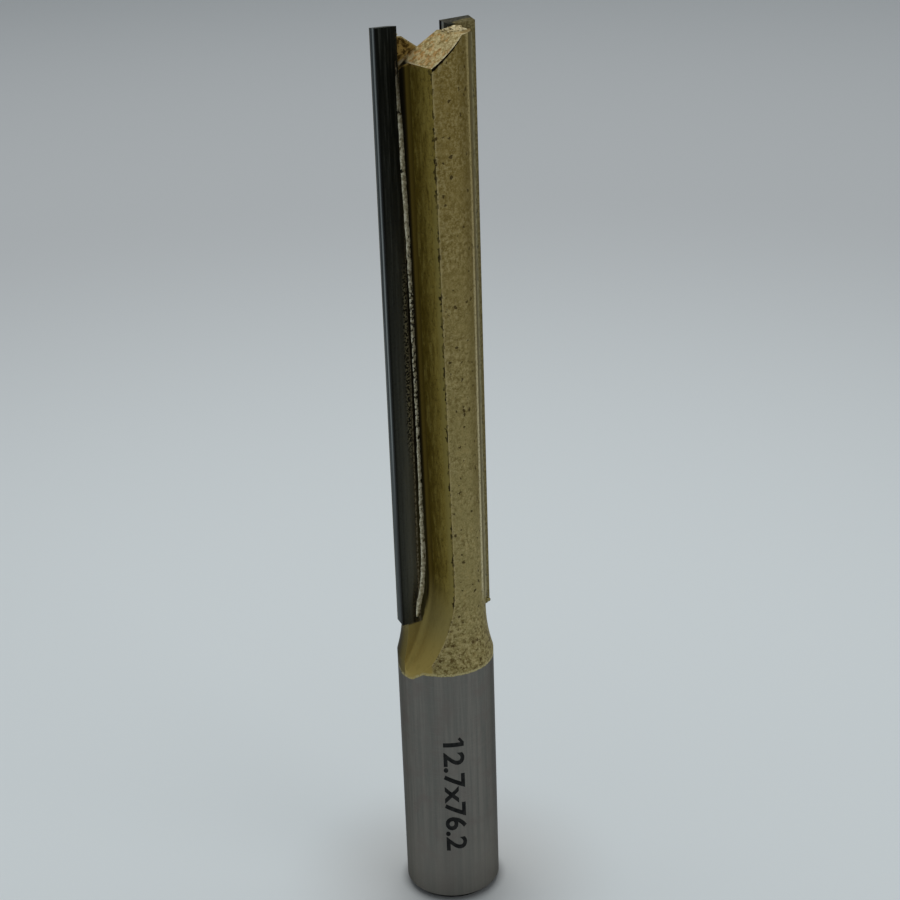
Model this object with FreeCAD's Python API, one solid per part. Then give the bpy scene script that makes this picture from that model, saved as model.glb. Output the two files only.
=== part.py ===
import FreeCAD, Part
import os
import math

# Straight two-flute router bit, half inch shank, half inch cutting circle,
# three inch long brazed carbide tips. The bit stands on the end of its shank.
# Z runs up the axis of the bit and z = 0 is the flat end of the shank.
# The cutting edges lie on the X axis. Seen from the tip the bit turns
# anticlockwise, so the flute in front of the +X edge is on its +Y side.
# All sizes in millimetres, angles in degrees.

os.makedirs("parts", exist_ok=True)

# Sizes of the whole tool
overall_length = 117.475
shank_diameter = 12.7
cutting_diameter = 12.7
cutting_length = 76.2

# Turned blank
shank_chamfer = 0.8
body_diameter = 11.0
neck_radius = 21.0
neck_above_tips = 0.7

# Flutes, milled by a disc cutter that leaves a long curved run-out. The wall
# beside the web leans: the web grows towards the tip and towards the rake plane
web_half_width = 1.87
web_growth = 0.009
wall_lean = 0.05
flute_corner_radius = 0.75
runout_radius = 20.0
runout_above_tips = 6.0

# Carbide tips
tip_thickness = 2.0
tip_a_width = 4.05
tip_b_width = 2.4
tip_b_width_at_end = 2.85
side_relief = 12.0
end_relief = 7.0
end_dish = 1.5
tip_a_raise = 1.0

# Brazing alloy round the tips
braze_film = 0.12
fillet_leg_on_tip = 0.45
fillet_leg_on_land = 0.75
fillet_below_tip = 0.25
fillet_below_steel_end = 0.35

# Ground end of the steel between the tips, measured down from the cutting end
gash_slope = 0.795
gash_cross_slope = 0.06
gash_a_drop = 2.355
gash_b_drop = 3.225
gash_wall_angle = -22.0
gash_wall_offset = 0.20
steel_end_a_drop = 1.075
steel_end_b_drop = 1.375
steel_end_b_slope = 0.12

# Sizes that follow from the ones above
shank_r = shank_diameter / 2
cut_r = cutting_diameter / 2
body_r = body_diameter / 2
tip_bottom = overall_length - cutting_length
neck_top = tip_bottom + neck_above_tips
runout_start = tip_bottom + runout_above_tips
gash_a_height = overall_length - gash_a_drop
gash_b_height = overall_length - gash_b_drop
steel_end_a_height = overall_length - steel_end_a_drop
steel_end_b_height = overall_length - steel_end_b_drop
high = overall_length + 20.0
wide = 3 * shank_r


def vec(x, y, z):
    return FreeCAD.Vector(x, y, z)


def prism(points, direction):
    # Closed straight-sided outline pushed along a direction
    wire = Part.makePolygon(points + [points[0]])
    return Part.Face(wire).extrude(direction)


def half_turn(shape):
    # The same shape on the opposite side of the axis
    turned = shape.copy()
    turned.rotate(vec(0, 0, 0), vec(0, 0, 1), 180)
    return turned


def turned_blank():
    # Shank, hollow-curved neck and thinner body, all from one bar
    rise = shank_r - body_r
    drop = math.sqrt(neck_radius ** 2 - (neck_radius - rise) ** 2)
    neck_bottom = neck_top - drop
    mid_z = neck_top - drop / 2
    mid_x = body_r + neck_radius - math.sqrt(neck_radius ** 2 - (drop / 2) ** 2)
    a = vec(0, 0, 0)
    b = vec(shank_r - shank_chamfer, 0, 0)
    c = vec(shank_r, 0, shank_chamfer)
    d = vec(shank_r, 0, neck_bottom)
    m = vec(mid_x, 0, mid_z)
    e = vec(body_r, 0, neck_top)
    f = vec(body_r, 0, overall_length)
    g = vec(0, 0, overall_length)
    edges = [Part.makeLine(a, b), Part.makeLine(b, c), Part.makeLine(c, d)]
    edges.append(Part.Arc(d, m, e).toShape())
    edges += [Part.makeLine(e, f), Part.makeLine(f, g), Part.makeLine(g, a)]
    face = Part.Face(Part.Wire(edges))
    return face.revolve(vec(0, 0, 0), vec(0, 0, 1), 360)


def flute_cutter():
    # Sweep of the disc cutter for the flute on the +X +Y side: a straight
    # wall beside the web, a curved run-out at the bottom and a rounded corner
    out_x = shank_r + 3.0
    top_x = web_half_width + web_growth * (high - runout_start)
    centre_x = web_half_width + runout_radius
    end_drop = math.sqrt(runout_radius ** 2 - (centre_x - out_x) ** 2)
    half_drop = end_drop / 2
    mid_x = centre_x - math.sqrt(runout_radius ** 2 - half_drop ** 2)
    a = vec(top_x, 0, high)
    b = vec(web_half_width, 0, runout_start)
    m = vec(mid_x, 0, runout_start - half_drop)
    c = vec(out_x, 0, runout_start - end_drop)
    d = vec(out_x, 0, high)
    wall = Part.makeLine(a, b)
    curve = Part.Arc(b, m, c).toShape()
    wire = Part.Wire([wall, curve, Part.makeLine(c, d), Part.makeLine(d, a)])
    solid = Part.Face(wire).extrude(vec(-wall_lean * wide, wide, 0))
    corner = []
    for edge in solid.Edges:
        box = edge.BoundBox
        on_rake_plane = box.YMax < 0.001 and box.YMin > -0.001
        outer = box.XMin > out_x - 0.001
        top = box.ZMin > high - 0.001
        if on_rake_plane and not outer and not top:
            corner.append(edge)
    return solid.makeFillet(flute_corner_radius, corner)


def beyond_wall(side):
    # Block on one side of the upright plane where the two end gashes meet
    block = Part.makeBox(2 * wide, wide, high, vec(-wide, 0, 0))
    if side < 0:
        block = Part.makeBox(2 * wide, wide, high, vec(-wide, -wide, 0))
    block.translate(vec(0, gash_wall_offset, 0))
    block.rotate(vec(0, 0, 0), vec(0, 0, 1), gash_wall_angle)
    return block


def above_face(height, climb_x, climb_y):
    # Everything above a ground end face; height is where it meets the axis
    corners = []
    for x, y in ((-wide, -wide), (wide, -wide), (wide, wide), (-wide, wide)):
        corners.append(vec(x, y, height + climb_x * x + climb_y * y))
    return prism(corners, vec(0, 0, high))


def fluted_blank():
    # Blank after milling both flutes and grinding the end
    blank = turned_blank()
    cutter = flute_cutter()
    blank = blank.cut(cutter).cut(half_turn(cutter))
    side_a = beyond_wall(-1)
    side_b = beyond_wall(1)
    gash_a = above_face(gash_a_height, gash_slope, gash_cross_slope)
    gash_b = above_face(gash_b_height, -gash_slope, -gash_cross_slope)
    end_a = above_face(steel_end_a_height, 0, 0)
    end_b = above_face(steel_end_b_height, 0, -steel_end_b_slope)
    blank = blank.cut(gash_a.common(side_a)).cut(gash_b.common(side_b))
    blank = blank.cut(end_a.common(side_a)).cut(end_b.common(side_b))
    return blank


def beside_edge(width, width_at_end, gap, bottom):
    # Everything outside the inner edge of a tip, which is as wide as given at
    # the low end of the cutting length and at the end of the bit
    growth = (width_at_end - width) / cutting_length
    low_x = cut_r - width - gap - growth * (bottom - tip_bottom)
    high_x = cut_r - width_at_end - gap - growth * (high - overall_length)
    a = vec(low_x, -wide, bottom)
    b = vec(wide, -wide, bottom)
    c = vec(wide, -wide, high)
    d = vec(high_x, -wide, high)
    return prism([a, b, c, d], vec(0, 2 * wide, 0))


def carbide_tip(width, width_at_end, raise_by):
    # Tip for the +X side: cutting edge on the circle, flank falling away
    # behind it, end face falling behind the edge and dished to the centre
    back_x = cut_r - tip_thickness * math.tan(math.radians(side_relief))
    bottom = tip_bottom + raise_by
    a = vec(0, 0, bottom)
    b = vec(cut_r, 0, bottom)
    c = vec(back_x, -tip_thickness, bottom)
    d = vec(0, -tip_thickness, bottom)
    tip = prism([a, b, c, d], vec(0, 0, overall_length - bottom))
    tip = tip.common(beside_edge(width, width_at_end, 0, bottom))
    over = prism([vec(-wide, -wide, 0), vec(wide, -wide, 0), vec(wide, wide, 0),
                  vec(-wide, wide, 0)], vec(0, 0, wide))
    over.rotate(vec(0, 0, 0), vec(1, 0, 0), end_relief)
    over.rotate(vec(0, 0, 0), vec(0, 1, 0), -end_dish)
    over.translate(vec(cut_r, 0, overall_length))
    return tip.cut(over)


def seat(width, width_at_end):
    # Room for one tip and the film of alloy behind, beside and below it
    bottom = tip_bottom - braze_film
    depth = tip_thickness + braze_film
    room = Part.makeBox(wide, depth + 2.0, high - bottom, vec(0, -depth, bottom))
    return room.common(beside_edge(width, width_at_end, braze_film, bottom))


def seam(room, tip, blank, body, raise_by, steel_end):
    # Alloy that fills the seat round the tip, with a small fillet in the
    # corner between the back of the tip and the land, as long as the tip
    filled = blank.common(room).cut(tip)
    filled = filled.common(Part.makeBox(wide, wide, high, vec(0, -wide, 0)))
    depth = tip_thickness
    corner_x = math.sqrt(body_r ** 2 - depth ** 2)
    land_angle = math.atan2(-depth, corner_x) - fillet_leg_on_land / body_r
    bottom = tip_bottom + raise_by - fillet_below_tip
    on_tip = vec(corner_x + fillet_leg_on_tip, -depth, bottom)
    on_land = vec(body_r * math.cos(land_angle), body_r * math.sin(land_angle), bottom)
    inside = vec(corner_x - 0.4, -depth, bottom)
    rise = steel_end - fillet_below_steel_end - bottom
    wedge = prism([on_tip, on_land, inside], vec(0, 0, rise))
    wedge = wedge.cut(body).cut(tip)
    joined = filled.fuse(wedge).removeSplitter()
    return joined


def biggest(shape):
    # The one solid that matters when a cut leaves slivers
    solids = sorted(shape.Solids, key=lambda s: s.Volume)
    return solids[-1]


blank = fluted_blank()
tip_a = carbide_tip(tip_a_width, tip_a_width, tip_a_raise)
tip_b = carbide_tip(tip_b_width, tip_b_width_at_end, 0.0)
seat_a = seat(tip_a_width, tip_a_width)
seat_b = seat(tip_b_width, tip_b_width_at_end)
bit_body = biggest(blank.cut(seat_a).cut(half_turn(seat_b)))

seam_a = seam(seat_a, tip_a, blank, bit_body, tip_a_raise, steel_end_a_height)
seam_b = seam(seat_b, tip_b, half_turn(blank), half_turn(bit_body), 0.0, steel_end_b_height)

nodes = {
    "bit_body": bit_body,
    "carbide_tip_a": biggest(tip_a),
    "carbide_tip_b": half_turn(biggest(tip_b)),
    "braze_seam_a": biggest(seam_a),
    "braze_seam_b": half_turn(biggest(seam_b)),
}
for name in nodes:
    nodes[name].exportStep("parts/" + name + ".step")
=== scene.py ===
# A straight two-flute router bit with brazed carbide tips, standing on its shank.
import math

import bmesh
import bpy
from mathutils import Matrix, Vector, noise


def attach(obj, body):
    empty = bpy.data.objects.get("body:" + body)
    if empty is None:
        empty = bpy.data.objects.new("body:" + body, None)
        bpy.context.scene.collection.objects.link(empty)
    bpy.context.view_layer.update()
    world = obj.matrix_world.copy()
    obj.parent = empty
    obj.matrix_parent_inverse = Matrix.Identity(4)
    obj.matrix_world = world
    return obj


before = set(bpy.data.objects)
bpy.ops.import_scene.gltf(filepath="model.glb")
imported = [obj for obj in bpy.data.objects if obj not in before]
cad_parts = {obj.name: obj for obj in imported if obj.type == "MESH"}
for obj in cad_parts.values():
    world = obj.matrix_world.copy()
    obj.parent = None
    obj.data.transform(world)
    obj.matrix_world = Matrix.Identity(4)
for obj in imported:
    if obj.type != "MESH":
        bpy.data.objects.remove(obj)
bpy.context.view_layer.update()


# ---------------------------------------------------------------------------
# Camera: stands where the photograph was taken, in front of the bit, a little
# above its top and looking down on it.
# ---------------------------------------------------------------------------
CAMERA_LENS = 70.786                            # mm
CAMERA_FILM = 36.0                              # mm
CAMERA_PLACE = (-0.110066, -0.172770, 0.151658)
CAMERA_TURN = (66.8808, 1.7898, -33.6864)       # degrees
NEAREST_SEEN = 0.01
FARTHEST_SEEN = 20.0

photo_camera = bpy.data.cameras.new("photo_camera")
photo_camera.lens = CAMERA_LENS
photo_camera.sensor_width = CAMERA_FILM
photo_camera.clip_start = NEAREST_SEEN
photo_camera.clip_end = FARTHEST_SEEN
camera_stand = bpy.data.objects.new("photo_camera", photo_camera)
bpy.context.scene.collection.objects.link(camera_stand)
camera_stand.location = CAMERA_PLACE
camera_stand.rotation_euler = tuple(math.radians(turn) for turn in CAMERA_TURN)
bpy.context.scene.camera = camera_stand


# ---------------------------------------------------------------------------
# Bit body: one bar of tool steel, turned and milled, its shank ground bright
# and bare. Everything above the shank is sprayed with gold metallic paint, and
# the end between the tips is ground again after brazing.
# ---------------------------------------------------------------------------
PAINT_EDGE = 35.15          # mm above the shank end
BODY_RADIUS = 5.5
WEB_HALF = 1.87             # mm, at the start of the run-out
WEB_GROWTH = 0.009          # mm for each mm towards the tip
RUNOUT_START = 47.3
RUNOUT_RADIUS = 20.0
TIP_BOTTOM = 41.275
END_HEIGHT = 115.12         # mm, where the ground end face meets the axis
END_CLIMB = 0.795           # mm for each mm towards the wide tip
END_TILT = 0.06
OTHER_END_HEIGHT = 114.25   # mm, the same for the face that falls the other way
STEEL_END = 116.4           # mm, flat end of the steel beside the wide tip
LINE_PLACE = 3.0            # mm from the axis to the braze line, up to its bend
LINE_BEND = 76.0            # mm above the shank end, where the line starts to lean out
LINE_LEAN = 0.0206          # mm for each mm above the bend
CHAMFER_TOP = 0.75
NECK_FOOT = 38.0
NECK_HEAD = 46.0
CORNER_DARK = 0.24          # mm beside the rake plane
PIT_DEPTH = 0.00018         # metres, of the rough paint


def srgb(red, green, blue):
    """A colour written as 0 to 255 screen values, for a colour socket."""
    out = []
    for part in (red, green, blue):
        part = part / 255.0
        out.append(part / 12.92 if part <= 0.04045 else ((part + 0.055) / 1.055) ** 2.4)
    return (*out, 1.0)


def coat(tree, kind, feeds=None, **settings):
    """One node of a finish; feeds gives each input its value or the socket it follows."""
    made = tree.nodes.new("ShaderNode" + kind)
    for name, value in settings.items():
        setattr(made, name, value)
    for name, value in (feeds or {}).items():
        if isinstance(value, bpy.types.NodeSocket):
            tree.links.new(value, made.inputs[name])
        else:
            made.inputs[name].default_value = value
    return made


def reckon(tree, operation, first, second=0.0, third=0.0):
    """A sum on masks or lengths."""
    return coat(tree, "Math", {0: first, 1: second, 2: third}, operation=operation).outputs[0]


def fade(tree, value, low, high):
    """0 below low, 1 above high and a soft step between them."""
    made = coat(tree, "MapRange", {"Value": value, "From Min": low, "From Max": high},
                interpolation_type="SMOOTHSTEP")
    return made.outputs["Result"]


def lay_over(tree, mask, under, over):
    """Colour over laid on colour under, as far as the mask says."""
    made = coat(tree, "Mix", {"Factor": mask}, data_type="RGBA")
    for socket, value in ((made.inputs[6], under), (made.inputs[7], over)):
        if isinstance(value, bpy.types.NodeSocket):
            tree.links.new(value, socket)
        else:
            socket.default_value = value
    return made.outputs[2]


def effect_group(name, inputs, outputs):
    """An empty shader node group with its named sockets."""
    group = bpy.data.node_groups.new(name, "ShaderNodeTree")
    for socket_name, kind, value in inputs:
        made = group.interface.new_socket(socket_name, in_out="INPUT", socket_type=kind)
        if value is not None:
            made.default_value = value
    for socket_name in outputs:
        group.interface.new_socket(socket_name, in_out="OUTPUT", socket_type="NodeSocketFloat")
    return group, group.nodes.new("NodeGroupInput"), group.nodes.new("NodeGroupOutput")


def use_effect(tree, group, feeds):
    """Places an effect group in a finish with its own values."""
    made = tree.nodes.new("ShaderNodeGroup")
    made.node_tree = group
    for name, value in feeds.items():
        if isinstance(value, bpy.types.NodeSocket):
            tree.links.new(value, made.inputs[name])
        else:
            made.inputs[name].default_value = value
    return made.outputs


# Grinding lines: fine scratches left by the wheel, stretched along one axis
grinding_lines, came_in, goes_out = effect_group(
    "grinding_lines",
    [("Place", "NodeSocketVector", None), ("Stretch", "NodeSocketVector", (1.0, 1.0, 1.0)),
     ("Fineness", "NodeSocketFloat", 4.0)],
    ["Lines", "Blotches"])
stretched = coat(grinding_lines, "VectorMath",
                 {0: came_in.outputs["Place"], 1: came_in.outputs["Stretch"]}, operation="MULTIPLY")
scratches = coat(grinding_lines, "TexNoise",
                 {"Vector": stretched.outputs[0], "Scale": came_in.outputs["Fineness"],
                  "Detail": 5.0, "Roughness": 0.7})
patches = coat(grinding_lines, "TexNoise",
               {"Vector": came_in.outputs["Place"], "Scale": 0.35, "Detail": 3.0,
                "Roughness": 0.6})
grinding_lines.links.new(scratches.outputs["Fac"], goes_out.inputs["Lines"])
grinding_lines.links.new(patches.outputs["Fac"], goes_out.inputs["Blotches"])

# Pits and grain: the rough skin of sprayed paint over milled steel, and of alloy
pitted_skin, came_in, goes_out = effect_group(
    "pitted_skin",
    [("Place", "NodeSocketVector", None), ("Pit Scale", "NodeSocketFloat", 1.2),
     ("Pit Amount", "NodeSocketFloat", 0.5), ("Grain Scale", "NodeSocketFloat", 7.0)],
    ["Pits", "Grain", "Mottle", "Height"])
wander = coat(pitted_skin, "TexNoise",
              {"Vector": came_in.outputs["Place"], "Scale": 2.4, "Detail": 2.0})
shaken = coat(pitted_skin, "VectorMath",
              {0: wander.outputs["Color"], 1: (0.5, 0.5, 0.9), 2: came_in.outputs["Place"]},
              operation="MULTIPLY_ADD")
cells = coat(pitted_skin, "TexVoronoi",
             {"Vector": shaken.outputs[0], "Scale": came_in.outputs["Pit Scale"],
              "Randomness": 1.0})
chosen = coat(pitted_skin, "SeparateColor", {"Color": cells.outputs["Color"]})
reach = reckon(pitted_skin, "MULTIPLY", chosen.outputs[0],
               came_in.outputs["Pit Amount"])
depth = reckon(pitted_skin, "SUBTRACT", reach, cells.outputs["Distance"])
pits = fade(pitted_skin, depth, 0.01, 0.07)
grain = coat(pitted_skin, "TexNoise",
             {"Vector": came_in.outputs["Place"], "Scale": came_in.outputs["Grain Scale"],
              "Detail": 4.0, "Roughness": 0.65})
mottle = coat(pitted_skin, "TexNoise",
              {"Vector": came_in.outputs["Place"], "Scale": 1.3, "Detail": 5.0,
               "Roughness": 0.6})
sunk = reckon(pitted_skin, "MULTIPLY", pits, -1.0)
height = reckon(pitted_skin, "MULTIPLY_ADD", grain.outputs["Fac"], 0.35, sunk)
pitted_skin.links.new(pits, goes_out.inputs["Pits"])
pitted_skin.links.new(grain.outputs["Fac"], goes_out.inputs["Grain"])
pitted_skin.links.new(mottle.outputs["Fac"], goes_out.inputs["Mottle"])
pitted_skin.links.new(height, goes_out.inputs["Height"])


def new_finish(name):
    """A material with its Principled shader, and the place on the piece in millimetres."""
    finish = bpy.data.materials.new(name)
    finish.use_nodes = True
    tree = finish.node_tree
    shader = tree.nodes["Principled BSDF"]
    place = coat(tree, "TexCoord").outputs["Object"]
    in_mm = coat(tree, "VectorMath", {0: place, "Scale": 1000.0}, operation="SCALE").outputs[0]
    return finish, tree, shader, in_mm


body_finish, tree, shader, in_mm = new_finish("ground_steel_and_gold_paint")
axes = coat(tree, "SeparateXYZ", {0: in_mm}).outputs
facing = coat(tree, "NewGeometry").outputs["Normal"]
face_axes = coat(tree, "SeparateXYZ", {0: facing}).outputs
flat_place = coat(tree, "CombineXYZ", {0: axes[0], 1: axes[1], 2: 0.0}).outputs[0]
outwards = coat(tree, "VectorMath", {0: flat_place}, operation="NORMALIZE").outputs[0]
radius = coat(tree, "VectorMath", {0: flat_place}, operation="LENGTH").outputs["Value"]
turned_face = coat(tree, "VectorMath", {0: outwards, 1: facing},
                   operation="DOT_PRODUCT").outputs["Value"]
beside = reckon(tree, "ABSOLUTE", axes[1])
across = reckon(tree, "ABSOLUTE", axes[0])

# How far a place lies beyond the wall of the flute, which swings out in the run-out
above_runout = reckon(tree, "SUBTRACT", axes[2], RUNOUT_START)
below_runout = reckon(tree, "MINIMUM", above_runout, 0.0)
arc_height = reckon(tree, "SQRT", reckon(tree, "SUBTRACT", RUNOUT_RADIUS ** 2,
                                         reckon(tree, "MULTIPLY", below_runout, below_runout)))
wall_place = reckon(tree, "MULTIPLY_ADD", reckon(tree, "MAXIMUM", above_runout, 0.0),
                    WEB_GROWTH, WEB_HALF)
wall_place = reckon(tree, "ADD", wall_place, reckon(tree, "SUBTRACT", RUNOUT_RADIUS, arc_height))
from_wall = reckon(tree, "SUBTRACT", across, wall_place)

# Bare ground steel of the shank
ground = use_effect(tree, grinding_lines,
                    {"Place": in_mm, "Stretch": (1.0, 1.0, 0.03), "Fineness": 1.1})
rings = use_effect(tree, grinding_lines,
                   {"Place": in_mm, "Stretch": (0.12, 0.12, 6.0), "Fineness": 3.0})
steel = lay_over(tree, fade(tree, ground["Lines"], 0.38, 0.62),
                 srgb(109, 108, 103), srgb(124, 120, 114))
steel = lay_over(tree, reckon(tree, "MULTIPLY", fade(tree, ground["Blotches"], 0.45, 0.70), 0.7),
                 steel, srgb(115, 108, 103))
steel = lay_over(tree, reckon(tree, "MULTIPLY", fade(tree, rings["Lines"], 0.52, 0.68), 0.30),
                 steel, srgb(142, 137, 130))
# Painted light: the ground steel is painted lighter towards the foot of the shank
steel = lay_over(tree, reckon(tree, "MULTIPLY", fade(tree, axes[2], 14.0, 4.0), 0.4), steel,
                 srgb(140, 137, 130))

# Painted shade: the chamfer at the foot of the shank is painted dark, as the shadow under it
steel = lay_over(tree, fade(tree, axes[2], CHAMFER_TOP + 0.05, CHAMFER_TOP - 0.05), steel,
                 srgb(46, 45, 43))

# How far a place on the land lies from the edge of the flute, measured across the bit
side = reckon(tree, "SIGN", axes[1])
past_arris = reckon(tree, "SUBTRACT", wall_place, reckon(tree, "MULTIPLY", axes[0], side))

# Gold paint on the turned lands: rough, specked and pitted, greyer towards the neck
skin = use_effect(tree, pitted_skin, {"Place": in_mm, "Pit Scale": 1.15, "Pit Amount": 0.31,
                                      "Grain Scale": 2.2})
fine = coat(tree, "TexNoise", {"Vector": in_mm, "Scale": 5.5, "Detail": 3.0}).outputs["Fac"]
nicks = coat(tree, "TexNoise", {"Vector": in_mm, "Scale": 1.7, "Detail": 3.0,
                                "Roughness": 0.6}).outputs["Fac"]
near_neck = fade(tree, axes[2], NECK_HEAD, NECK_FOOT)
land_paint = lay_over(tree, fade(tree, axes[2], 116.0, 50.0), srgb(136, 117, 62),
                      srgb(150, 138, 90))
land_paint = lay_over(tree, reckon(tree, "MULTIPLY", fade(tree, skin["Mottle"], 0.50, 0.62), 0.45),
                      land_paint, srgb(166, 148, 96))
land_paint = lay_over(tree, reckon(tree, "MULTIPLY", fade(tree, skin["Mottle"], 0.48, 0.36), 0.40),
                      land_paint, srgb(106, 88, 40))
rough_parts = coat(tree, "TexNoise", {"Vector": in_mm, "Scale": 0.24, "Detail": 3.0}).outputs["Fac"]
rough_parts = reckon(tree, "MAXIMUM", fade(tree, rough_parts, 0.40, 0.60), near_neck)
speck_share = reckon(tree, "MULTIPLY", reckon(tree, "MULTIPLY_ADD", near_neck, 0.30, 0.44),
                     reckon(tree, "MULTIPLY_ADD", rough_parts, 0.70, 0.30))
land_paint = lay_over(tree, reckon(tree, "MULTIPLY", fade(tree, skin["Grain"], 0.50, 0.60),
                                   speck_share), land_paint, srgb(186, 170, 122))
grain_dark = lay_over(tree, near_neck, srgb(90, 72, 34), srgb(102, 84, 48))
land_paint = lay_over(tree, reckon(tree, "MULTIPLY", fade(tree, skin["Grain"], 0.48, 0.38),
                                   speck_share), land_paint, grain_dark)
land_paint = lay_over(tree, reckon(tree, "MULTIPLY", fade(tree, fine, 0.50, 0.38), 0.22),
                      land_paint, srgb(92, 74, 32))
land_paint = lay_over(tree, reckon(tree, "MULTIPLY", fade(tree, fine, 0.54, 0.66), 0.22),
                      land_paint, srgb(190, 176, 130))
# Painted highlight: a lighter band on the land along the edge of the flute
arris_highlight = reckon(tree, "MULTIPLY_ADD", nicks, 0.8, reckon(tree, "SUBTRACT", past_arris, 0.4))
arris_highlight = fade(tree, arris_highlight, 0.55, 0.25)
land_paint = lay_over(tree, reckon(tree, "MULTIPLY", arris_highlight, 0.7), land_paint, srgb(184, 167, 118))
lumps = reckon(tree, "MULTIPLY", fade(tree, skin["Mottle"], 0.44, 0.37), near_neck)
land_paint = lay_over(tree, reckon(tree, "MULTIPLY", lumps, 0.55), land_paint, srgb(84, 66, 34))
pit_colour = lay_over(tree, near_neck, srgb(66, 52, 26), srgb(84, 66, 36))
land_paint = lay_over(tree, reckon(tree, "MULTIPLY", skin["Pits"], 0.85), land_paint, pit_colour)
nick_level = reckon(tree, "MULTIPLY_ADD", fade(tree, axes[2], 47.0, 43.0), 0.05,
                    reckon(tree, "SUBTRACT", 1.0, nicks))
nicked = reckon(tree, "MULTIPLY", fade(tree, past_arris, 0.55, 0.15),
                fade(tree, nick_level, 0.54, 0.60))
land_paint = lay_over(tree, nicked, land_paint, srgb(46, 36, 16))

# Behind each tip the alloy ran out over the land in a thin skirt. Its edge is painted bright as a
# painted highlight on its crest, the skirt is painted darker as shade, and the paint beside the
# edge is darker
SKIRT_EDGE = math.radians(-53.5)
skirt_cos = coat(tree, "VectorMath",
                 {0: outwards, 1: (math.cos(SKIRT_EDGE), math.sin(SKIRT_EDGE), 0.0)},
                 operation="DOT_PRODUCT").outputs["Value"]
skirt_sin = coat(tree, "VectorMath",
                 {0: outwards, 1: (-math.sin(SKIRT_EDGE), math.cos(SKIRT_EDGE), 0.0)},
                 operation="DOT_PRODUCT").outputs["Value"]
past_skirt = reckon(tree, "MULTIPLY", skirt_cos, skirt_sin)
past_skirt = reckon(tree, "ADD", past_skirt,
                    reckon(tree, "MULTIPLY_ADD", skin["Mottle"], 0.08, -0.04))
past_skirt = reckon(tree, "MULTIPLY_ADD", fade(tree, axes[2], 90.0, 112.0), 0.06, past_skirt)
along_tips = fade(tree, axes[2], 43.0, 46.0)
beside_skirt = reckon(tree, "MULTIPLY", fade(tree, past_skirt, -0.40, -0.22), along_tips)
beside_skirt = reckon(tree, "MULTIPLY", beside_skirt, fade(tree, axes[2], 52.0, 62.0))
land_paint = lay_over(tree, reckon(tree, "MULTIPLY", beside_skirt, 0.35), land_paint,
                      srgb(100, 84, 34))
# Painted shade in the skirt
skirt_shade = reckon(tree, "MULTIPLY", fade(tree, past_skirt, 0.02, 0.07), along_tips)
land_paint = lay_over(tree, reckon(tree, "MULTIPLY", skirt_shade, 0.65), land_paint,
                      srgb(104, 92, 52))
# Painted highlight along the skirt's edge
crest_highlight = reckon(tree, "MULTIPLY", fade(tree, past_skirt, -0.10, -0.02),
                    fade(tree, past_skirt, 0.07, 0.03))
crest_highlight = reckon(tree, "MULTIPLY", crest_highlight, along_tips)
crest_highlight = reckon(tree, "MULTIPLY", crest_highlight, fade(tree, fine, 0.34, 0.48))
crest_colour = lay_over(tree, fade(tree, axes[2], 105.0, 60.0), srgb(184, 166, 112),
                      srgb(220, 208, 166))
land_paint = lay_over(tree, reckon(tree, "MULTIPLY", crest_highlight, 0.85), land_paint, crest_colour)

# The same paint in the milled flutes: smoother and streaked along the cut. Painted shade: darker
# towards the corner by the rake plane, lighter towards the land
runs = use_effect(tree, grinding_lines,
                  {"Place": in_mm, "Stretch": (1.0, 1.0, 0.22), "Fineness": 1.7})
flute_paint = lay_over(tree, fade(tree, beside, 0.85, 4.8), srgb(112, 94, 34),
                       srgb(158, 138, 66))
flute_paint = lay_over(tree, reckon(tree, "MULTIPLY", fade(tree, runs["Lines"], 0.48, 0.62), 0.45),
                       flute_paint, srgb(176, 158, 84))
flute_paint = lay_over(tree, reckon(tree, "MULTIPLY", fade(tree, runs["Lines"], 0.48, 0.34), 0.55),
                       flute_paint, srgb(84, 68, 20))
flute_paint = lay_over(tree, reckon(tree, "MULTIPLY", fade(tree, skin["Grain"], 0.48, 0.36), 0.45),
                       flute_paint, srgb(78, 62, 18))
flute_paint = lay_over(tree, reckon(tree, "MULTIPLY", fade(tree, fine, 0.48, 0.36), 0.30),
                       flute_paint, srgb(72, 58, 18))
flute_paint = lay_over(tree, reckon(tree, "MULTIPLY", fade(tree, beside, 3.6, 4.7),
                                    fade(tree, axes[2], 108.0, 92.0)), flute_paint,
                       srgb(158, 142, 78))
flute_paint = lay_over(tree, fade(tree, beside, 0.82, 0.66), flute_paint, srgb(94, 78, 30))
runout_paint = lay_over(tree, fade(tree, axes[2], 42.0, 36.5), srgb(161, 145, 88),
                        srgb(176, 154, 87))
runout_paint = lay_over(tree, reckon(tree, "MULTIPLY", fade(tree, runs["Lines"], 0.50, 0.34), 0.15),
                        runout_paint, srgb(104, 88, 40))
# Painted shade: the run-out is painted darker where its face turns between the two flute sides,
# over the fillet
fillet_shade = reckon(tree, "MULTIPLY", reckon(tree, "ABSOLUTE", face_axes[0]),
                        reckon(tree, "ABSOLUTE", face_axes[1]))
fillet_shade = reckon(tree, "MULTIPLY", fade(tree, fillet_shade, 0.10, 0.45), 0.25)
runout_paint = lay_over(tree, fillet_shade, runout_paint, srgb(112, 98, 50))
# Painted shade: the far side of the neck beside the run-out is painted dark
round_the_side = reckon(tree, "MULTIPLY", fade(tree, axes[1], -0.10, 0.10),
                        fade(tree, axes[0], 0.0, -2.0))
neck_side_shade = lay_over(tree, fade(tree, axes[1], 0.2, 2.4), srgb(120, 106, 58), srgb(64, 56, 30))
runout_paint = lay_over(tree, round_the_side, runout_paint, neck_side_shade)
flute_paint = lay_over(tree, fade(tree, axes[2], 48.5, 41.0), flute_paint, runout_paint)

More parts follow.
